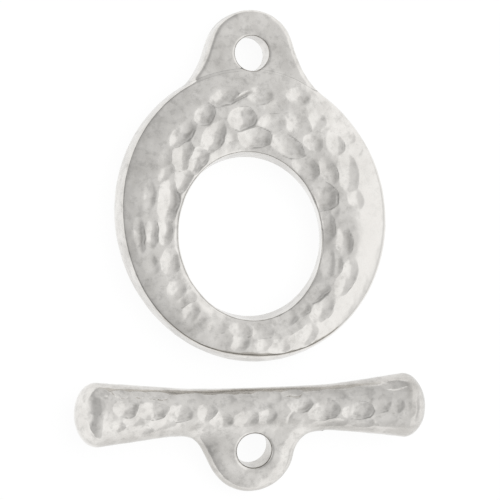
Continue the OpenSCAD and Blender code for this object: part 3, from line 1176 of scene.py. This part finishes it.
    def eye(self, beside: np.ndarray, up: np.ndarray, z: np.ndarray) -> np.ndarray:
        """Measures how far points lie from the eye without its bore.

        Args:
            beside: Distances from the bore to the right.
            up: Distances from the bore up the plan.
            z: The points' heights.

        Returns:
            The distances, negative inside.
        """
        c, s = bearing(self.eye_spread)
        side = np.abs(beside)
        down = side * s - up * c
        flare = self.flare_growth * np.maximum(down - self.flare_start, 0) ** 2
        spread = side * c + up * s - self.eye_radius - flare
        outline = np.where(down > 0, spread, np.hypot(beside, up) - self.eye_radius)
        outline = np.maximum(outline, -up - self.eye_root)
        plate = cut_soft(outline, z - self.eye_thick, self.eye_soft)
        return cut_soft(plate, -z, self.eye_back_soft)

    def form(self, points: np.ndarray) -> np.ndarray:
        """Measures how far points lie from the ring and its eye before they are struck.

        Args:
            points: Points of the layout.

        Returns:
            The distances, negative inside.
        """
        x, y, z = points.T
        beside, up = self.from_bore(x, y)
        metal = join_soft(self.band(x, y, z), self.eye(beside, up, z), self.eye_join)
        return cut_soft(np.maximum(metal, -z), self.bore(beside, up), self.bore_soft)

    def notes(self, points: np.ndarray) -> np.ndarray:
        """Works out what the finish has to know: rims and creases for painted shade lines, and a level of
        painted light.

        Args:
            points: Points of the ring's surface.

        Returns:
            Each point's distances from three kinds of rim, and its level of painted light.
        """
        x, y, z = points.T
        beside, up = self.from_bore(x, y)
        face, outside, wall, _ = self.faces(x, y, z)
        # Painted shade lines: along the outer rim as strongly as the edge table's last column asks, along
        # the inner rim, in the crease under the eye and round the bore.
        faint = 1 / np.maximum(self.edge("line_shade", self.angles(x, y)), self.least_line_shade)
        outer = (rim_between(face, outside) - self.outer_shade_shift) * faint
        fold = rim_between(self.band(x, y, z), self.eye(beside, up, z), self.crease_reach)
        crease = np.where(z > self.crease_over, fold - self.crease_shade_shift, 1)
        bore = rim_between(z - self.eye_thick, self.bore(beside, up))
        joint = np.where(np.abs(crease) < np.abs(bore), self.crease_thin * crease, bore)
        normal = slope_of(self.form, points)
        # Painted light: less patina on the right outer slope paints a sheen there, and walls facing up or
        # down the layout get painted shade.
        upright = np.clip(1 - 2 * normal[:, 2], 0, 1)
        across = wall / np.minimum(wall + outside, -self.narrowest)
        facing = np.cos(np.radians(self.angles(x, y) + self.sheen_turn))
        gain, less = self.sheen_side
        right = np.clip(gain * facing - less, 0, 1)
        gain, less = self.sheen_rise
        sheen = np.where(outside < 0, right * np.clip(gain * across - less, 0, self.sheen_most), 0)
        film = 1 - sheen + upright * normal[:, 1] ** 2
        return np.stack([outer, rim_between(face, wall), joint, film], 1)

    def aimed(self, strike: Strike) -> tuple[np.ndarray, np.ndarray]:
        """Finds where a strike lands, from its angle round the face and its share across it.

        Args:
            strike: The mark as charted.

        Returns:
            A point close to the face, and the rough direction of the mark's length.
        """
        near, far = self.opening.point(strike.where), self.outline.point(strike.where)
        height = self.edge("crest", np.array(strike.where))
        return np.array([*(near + (far - near) * strike.across), float(height)]), toward(strike.turn)


@dataclass
class FlaredBar(Casting):
    """The round bar with the eye on its middle: one casting, sizes in millimetres."""

    piece: str = "flared_bar"
    length: float = 20.39
    end_d: float = 3.67
    middle_d: float = 2.47
    dome: float = 1.25
    lean: float = 1.83
    flare_left: float = 3.5
    flare_right: float = 4.6
    flare_soft: float = 1.4
    bow: float = 0.03
    lower: float = 0.045
    eye_bore: float = 1.98
    bore_right: float = 0.11
    bore_soft: float = 0.2
    eye_thick: float = 1.6
    eye_radius: float = 2.52
    eye_right: float = 0.05
    eye_reach: float = 2.22
    eye_join: float = 0.3
    fillet_left: float = 2.1
    fillet_right: float = 1.6
    eye_soft: float = 0.4
    eye_crown: float = 0.32
    crown_width: float = 1.0
    eye_bulge: float = 0.14
    bulge_up: float = 0.2
    bulge_size: float = 0.7
    # The painted shade line round the bore, painted shade on the flanks and the right tip, and the painted
    # glint spared on the tip.
    bore_line_drop: float = 0.1
    bore_thick: float = 0.6
    flank_fall: tuple[float, float] = (2.2, 2.4)
    flank_shade: tuple[float, float] = (0.3, 0.75)
    lighter_flank_to: float = 2.0
    left_fade: tuple[float, float] = (0.4, 0.5)
    tip_fade: tuple[float, float] = (0.3, 0.7)
    tip_shade: float = 0.6
    glint_out: float = 0.7
    glint_size: tuple[float, float] = (0.2, 0.5)
    cell: tuple[float, float, float] = (0.065, 0.065, 0.065)
    margin: float = 0.5
    hammer: Hammer = Hammer(steep=0.29)
    blow_turn: float = -25.0
    strikes: tuple[Strike, ...] = BAR_STRIKES

    def __post_init__(self) -> None:
        """Lays the bar over its solid, on its two ends and its eye's tip."""
        self.low, self.high = (np.array(corner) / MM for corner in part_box("bar"))
        reach = self.eye_reach + self.eye_radius - self.eye_soft
        drop = self.eye_thick / 2 - self.eye_soft
        rest = math.asin((self.end_d / 2 - self.eye_soft) / math.hypot(reach, drop))
        self.roll = rest - math.atan2(drop, reach)
        down = (reach + self.eye_soft) * math.cos(self.roll) + drop * math.sin(self.roll)
        self.middle = np.array([0.0, self.low[1] + down - self.lower, self.end_d / 2])
        self.shoulder = self.length / 2 - self.dome

    def radius(self, x: np.ndarray) -> np.ndarray:
        """Works out the radius of the bar.

        Args:
            x: Places along it, from its middle.

        Returns:
            The radius at each place.
        """
        start = np.where(x < 0, self.flare_left, self.flare_right)

        def flare(at: np.ndarray | float) -> np.ndarray:
            """How far the bar has flared at a distance from its middle."""
            return np.hypot(at - start, self.flare_soft) + at - start

        share = flare(np.minimum(np.abs(x), self.shoulder)) / flare(self.shoulder)
        return (self.middle_d + (self.end_d - self.middle_d) * share) / 2

    def shaft(self, x: np.ndarray, y: np.ndarray, z: np.ndarray) -> np.ndarray:
        """Measures how far points lie from the bar without its eye.

        Args:
            x: The points' places along the bar, from its middle.
            y: Their places across it, away from its eye.
            z: Their heights over its middle.

        Returns:
            The distances, negative inside.
        """
        out = np.hypot(y - self.bow * (1 - (2 * x / self.length) ** 2), z)
        past = np.maximum(np.abs(x) - self.shoulder, 0)
        dome = oval_distance(past, out, self.dome, self.end_d / 2)
        return np.where(past > 0, dome, out - self.radius(x))

    def eye(self, beside: np.ndarray, up: np.ndarray, level: np.ndarray) -> np.ndarray:
        """Measures how far points lie from the eye without its bore.

        Args:
            beside: Distances from the bore along the bar.
            up: Distances from the bore towards the eye's tip.
            level: Heights over the middle of the eye's thickness.

        Returns:
            The distances, negative inside.
        """
        side = np.abs(beside)
        fillet = np.where(beside < 0, self.fillet_left, self.fillet_right)
        turn_up = self.middle_d / 2 + fillet - self.eye_reach
        turn_x = np.sqrt((self.eye_radius + fillet) ** 2 - turn_up ** 2)
        hollow = fillet - np.hypot(side - turn_x, up - turn_up)
        hollow = np.where(side > turn_x, np.maximum(hollow, side - turn_x), hollow)
        flank = side * turn_up - up * turn_x > 0
        outline = np.where(flank, hollow, np.hypot(beside, up) - self.eye_radius)
        bulge = self.eye_bulge * np.exp(-((up - self.bulge_up) / self.bulge_size) ** 2)
        outline = outline - np.where(beside < 0, bulge, 0)
        crown = self.eye_crown * np.maximum(1 + outline / self.crown_width, 0) ** 2
        plate = cut_soft(outline, np.abs(level) - (self.eye_thick / 2 - crown), self.eye_soft)
        return np.maximum(plate, -up - self.eye_reach)

    def local(self, points: np.ndarray) -> np.ndarray:
        """Measures points along the bar.

        Args:
            points: Points of the layout.

        Returns:
            Three rows: places along the bar, places across it and heights, all from its middle.
        """
        c, s = bearing(self.lean)
        x, y, z = (points - self.middle).T
        return np.stack([x * c + y * s, y * c - x * s, z])

    def turned(self, direction: np.ndarray) -> np.ndarray:
        """Turns a direction along the bar into one of the layout.

        Args:
            direction: The direction, measured along the bar.

        Returns:
            The same direction in the layout.
        """
        c, s = bearing(self.lean)
        x, y, z = direction
        return np.array([x * c - y * s, x * s + y * c, z])

    def from_bore(self, x: np.ndarray, y: np.ndarray, z: np.ndarray) -> tuple[np.ndarray, ...]:
        """Turns places measured from the bar's middle into ones measured from its eye's bore."""
        c, s = math.cos(self.roll), math.sin(self.roll)
        return x - self.eye_right, -(y * c + z * s) - self.eye_reach, z * c - y * s

    def form(self, points: np.ndarray) -> np.ndarray:
        """Measures how far points lie from the bar and its eye before they are struck.

        Args:
            points: Points of the layout.

        Returns:
            The distances, negative inside.
        """
        x, y, z = self.local(points)
        beside, up, level = self.from_bore(x, y, z)
        metal = join_soft(self.shaft(x, y, z), self.eye(beside, up, level), self.eye_join)
        return cut_soft(metal, self.bore(x - self.bore_right, up), self.bore_soft)

    def notes(self, points: np.ndarray) -> np.ndarray:
        """Works out what the finish has to know: the bore's rim for a painted shade line, and painted
        shade on the flanks and tip.

        Args:
            points: Points of the bar's surface.

        Returns:
            Each point's distances from three kinds of rim, and its level of painted light.
        """
        x, y, z = self.local(points)
        _, up, level = self.from_bore(x, y, z)
        far_off = np.ones(len(points))
        # Painted shade: a line round the rim of the bore.
        bore = self.bore(x - self.bore_right, up)
        rim = rim_between(level - self.eye_thick / 2 + self.bore_line_drop, bore)
        # Painted shade on the flanks, weaker on the side away from the eye towards the left, none on the
        # left end; painted shade on the right tip, spared at a painted glint.
        normal = slope_of(self.form, points)
        most, fall = self.flank_fall
        flank = np.clip(most - fall * normal[:, 2], 0, 1)
        flank = flank * np.where((y > 0) & (x < self.lighter_flank_to), *self.flank_shade)
        width, start = self.left_fade
        flank = flank * (1 - np.clip((-x - self.shoulder) / width + start, 0, 1))
        long, wide = self.glint_size
        glint = np.exp(-((x - self.shoulder - self.glint_out) / long) ** 2 - (y / wide) ** 2)
        width, start = self.tip_fade
        tip = self.tip_shade * np.clip((x - self.shoulder) / width + start, 0, 1) * (1 - glint)
        return np.stack([far_off, far_off, self.bore_thick * rim, 1 + np.maximum(flank, tip)], 1)

    def aimed(self, strike: Strike) -> tuple[np.ndarray, np.ndarray]:
        """Finds where a strike lands, from its share of the bar's length and its angle round it.

        Args:
            strike: The mark as charted.

        Returns:
            A point close to the bar, and the rough direction of the mark's length.
        """
        x = strike.where * self.length / 2
        over, aside = bearing(strike.across)
        onward, round_it = bearing(strike.turn)
        r = float(self.radius(np.array(x)))
        near = self.middle + self.turned(np.array([x, r * aside, r * over]))
        around = np.array([0.0, over, -aside]) * round_it
        return near, self.turned(around + np.array([onward, 0.0, 0.0]))


# Shares of the way from the tent's left to its right, each with the brightness there
TENT_LEVELS = (
    (0.00, 1.00), (0.04, 0.95), (0.09, 0.68), (0.15, 0.53), (0.30, 0.53), (0.40, 0.64),
    (0.50, 0.72), (0.56, 0.76), (0.61, 0.78), (0.66, 0.80), (0.70, 0.85), (0.73, 0.97),
    (0.76, 1.04), (0.92, 1.04), (0.96, 0.82), (1.00, 0.80),
)


@dataclass
class Studio:
    """A white table in a soft tent, a lamp that only the table shows, and the camera over it."""

    view_left: float = 13.0
    view_near: float = 2.0
    distance: float = 0.25
    lens: float = 315.0
    sensor: float = 36.0
    clip: tuple[float, float] = (0.01, 5.0)
    aim: tuple[float, float, float] = (0.000156, 0.0, 0.001)
    table_size: float = 0.6
    table_drop: float = 0.00001
    table_tone: float = 0.08
    table_rough: float = 0.9
    table_glow: float = 0.93
    tent_way: tuple[float, float, float] = (1.0, -0.15, 0.0)
    lamp_power: float = 1.2
    lamp_spread: float = 60.0
    lamp_turn: tuple[float, float] = (-15.0, 20.0)

    def floor(self) -> None:
        """Lays the table a hair under the clasp, white by its own light."""
        half = self.table_size / 2
        mesh = bpy.data.meshes.new("table")
        plan = ((-half, -half), (half, -half), (half, half), (-half, half))
        mesh.from_pydata([(x, y, -self.table_drop) for x, y in plan], [], [(0, 1, 2, 3)])
        table = placed("table", mesh)
        paper = bpy.data.materials.new("white_paper")
        paper.use_nodes = True
        Wiring(paper.node_tree).give(paper.node_tree.nodes["Principled BSDF"], {
            "Base Color": (self.table_tone, self.table_tone, self.table_tone, 1),
            "Roughness": self.table_rough,
            "Specular IOR Level": 0.0,
            "Emission Color": (1, 1, 1, 1),
            "Emission Strength": self.table_glow,
        })
        mesh.materials.append(paper)

    def tent(self) -> None:
        """Lights the table all round: greyest halfway up the left, brightest halfway up the right."""
        world = bpy.data.worlds.new("tent")
        world.use_nodes = True
        bpy.context.scene.world = world
        wiring = Wiring(world.node_tree)
        place = wiring.add("ShaderNodeTexCoord").outputs["Generated"]
        across = wiring.ramp(wiring.vector("DOT_PRODUCT", place, self.tent_way), -1.0, 1.0)
        ramp = wiring.add("ShaderNodeValToRGB", {"Fac": across})
        stops = ramp.color_ramp.elements
        stops[0].position, stops[1].position = 0.0, 1.0
        for share, _ in TENT_LEVELS[1:-1]:
            stops.new(share)
        for stop, (_, level) in zip(stops, TENT_LEVELS):
            stop.color = (level, level, level, 1)
        wiring.fill(world.node_tree.nodes["Background"].inputs["Color"], ramp.outputs["Color"])

    def lamp(self) -> None:
        """Adds a wide soft lamp, which the metal doesn't mirror."""
        light = bpy.data.lights.new("table_lamp", "SUN")
        light.energy = self.lamp_power
        light.angle = math.radians(self.lamp_spread)
        lamp = placed("table_lamp", light)
        lamp.visible_glossy = False
        lamp.rotation_euler = (*(math.radians(turn) for turn in self.lamp_turn), 0)

    def camera(self) -> None:
        """Puts the camera at the photograph's angle, a little to the left of straight above."""
        data = bpy.data.cameras.new("camera")
        data.lens = self.lens
        data.sensor_width = self.sensor
        data.clip_start, data.clip_end = self.clip
        data.dof.use_dof = False
        camera = placed("camera", data)
        left, near = (math.tan(math.radians(turn)) for turn in (self.view_left, self.view_near))
        back = Vector((-left, -near, 1)).normalized()
        right = Vector((0, 1, 0)).cross(back).normalized()
        camera.location = Vector(self.aim) + back * self.distance
        camera.rotation_euler = Matrix((right, back.cross(right), back)).transposed().to_euler()
        bpy.context.scene.camera = camera

    def build(self) -> None:
        """Sets the stage and the tones of the render."""
        self.floor()
        self.tent()
        self.lamp()
        self.camera()
        bpy.context.scene.view_settings.view_transform = "Standard"


def main() -> None:
    """Builds the clasp's two castings and the studio round them."""
    logging.basicConfig(level=logging.INFO, format="%(message)s")
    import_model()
    Studio().build()
    finish = PlatedFinish()
    metal = finish.material()
    work = HammerWork()
    for node, casting in (("ring", HammeredRing()), ("bar", FlaredBar())):
        piece = casting.build(work, metal)
        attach(piece, "root")
        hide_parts(node)
        log.info("%s: %d faces", piece.name, len(piece.data.polygons))


if __name__ == "__main__":
    main()
